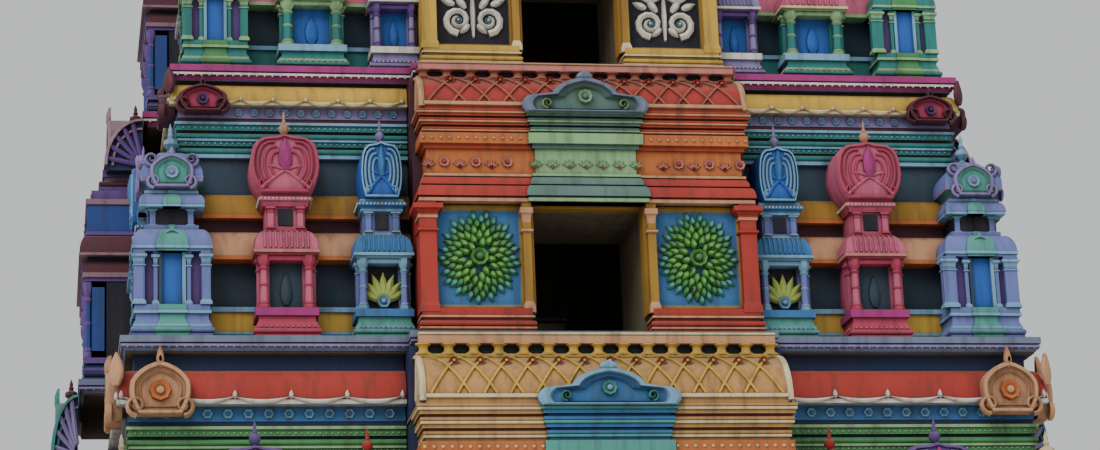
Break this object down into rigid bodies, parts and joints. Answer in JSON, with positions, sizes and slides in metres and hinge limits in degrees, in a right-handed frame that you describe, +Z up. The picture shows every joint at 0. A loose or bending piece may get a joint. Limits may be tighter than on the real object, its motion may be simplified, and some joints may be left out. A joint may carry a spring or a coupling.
{
  "type": "gopuram, a temple gateway tower",
  "caption": "Painted temple gateway tower: stone gate storey with a through passage, set-back storeys lined with small shrines, and a barrel roof with a row of pot finials.",
  "frame": {"origin": "on the ground under the middle of the gate passage, at the middle of the tower's plan", "axes": "+X along the tower's width, to the right seen from the street front; +Y through the gate towards the back, so the street front faces -Y; +Z up"},
  "size_m": [11.92, 8.82, 18.43],
  "materials": {
    "gate_granite": "matte",
    "gate_limewash": "matte",
    "ledge_blue_grey_enamel": "satin",
    "ledge_magenta_enamel": "satin",
    "wall_teal_enamel": "satin",
    "wall_ochre_enamel": "satin",
    "wall_green_enamel": "satin",
    "bay_gold_enamel": "satin",
    "bay_red_enamel": "satin",
    "bay_yellow_enamel": "satin",
    "shrine_lavender_enamel": "satin",
    "shrine_green_enamel": "satin",
    "roof_green_enamel": "satin",
    "roof_purple_enamel": "satin",
    "gable_gold_enamel": "satin",
    "kalasam_brass": "satin"
  },
  "bodies": {
    "root": {"plinth_left": "gate_granite", "plinth_right": "gate_granite", "passage_floor": "gate_granite", "passage_ceiling": "gate_granite", "gate_wall_left": "gate_granite", "gate_wall_right": "gate_granite", "gate_frame_front": "gate_granite", "gate_frame_rear": "gate_granite", "gate_cornice": "gate_limewash", "tier1_floor": "ledge_magenta_enamel", "tier1_wall_left": "wall_teal_enamel", "tier1_wall_right": "wall_teal_enamel", "tier1_front_bay": "bay_gold_enamel", "tier1_rear_bay": "bay_gold_enamel", "tier1_corner_shrine_front_left": "shrine_lavender_enamel", "tier1_corner_shrine_front_right": "shrine_lavender_enamel", "tier1_corner_shrine_rear_left": "shrine_lavender_enamel", "tier1_corner_shrine_rear_right": "shrine_lavender_enamel", "tier2_floor": "ledge_blue_grey_enamel", "tier2_wall_left": "wall_ochre_enamel", "tier2_wall_right": "wall_ochre_enamel", "tier2_front_bay": "bay_red_enamel", "tier2_rear_bay": "bay_red_enamel", "tier2_corner_shrine_front_left": "shrine_lavender_enamel", "tier2_corner_shrine_front_right": "shrine_lavender_enamel", "tier2_corner_shrine_rear_left": "shrine_lavender_enamel", "tier2_corner_shrine_rear_right": "shrine_lavender_enamel", "tier3_floor": "ledge_magenta_enamel", "tier3_wall_left": "wall_green_enamel", "tier3_wall_right": "wall_green_enamel", "tier3_front_bay": "bay_yellow_enamel", "tier3_rear_bay": "bay_yellow_enamel", "tier3_corner_shrine_front_left": "shrine_green_enamel", "tier3_corner_shrine_front_right": "shrine_green_enamel", "tier3_corner_shrine_rear_left": "shrine_green_enamel", "tier3_corner_shrine_rear_right": "shrine_green_enamel", "roof_floor": "ledge_magenta_enamel", "roof_neck": "roof_purple_enamel", "roof_vault": "roof_green_enamel", "roof_gable_left": "gable_gold_enamel", "roof_gable_right": "gable_gold_enamel", "kalasam_1": "kalasam_brass", "kalasam_2": "kalasam_brass", "kalasam_3": "kalasam_brass", "kalasam_4": "kalasam_brass", "kalasam_5": "kalasam_brass"}
  },
  "joints": []
}
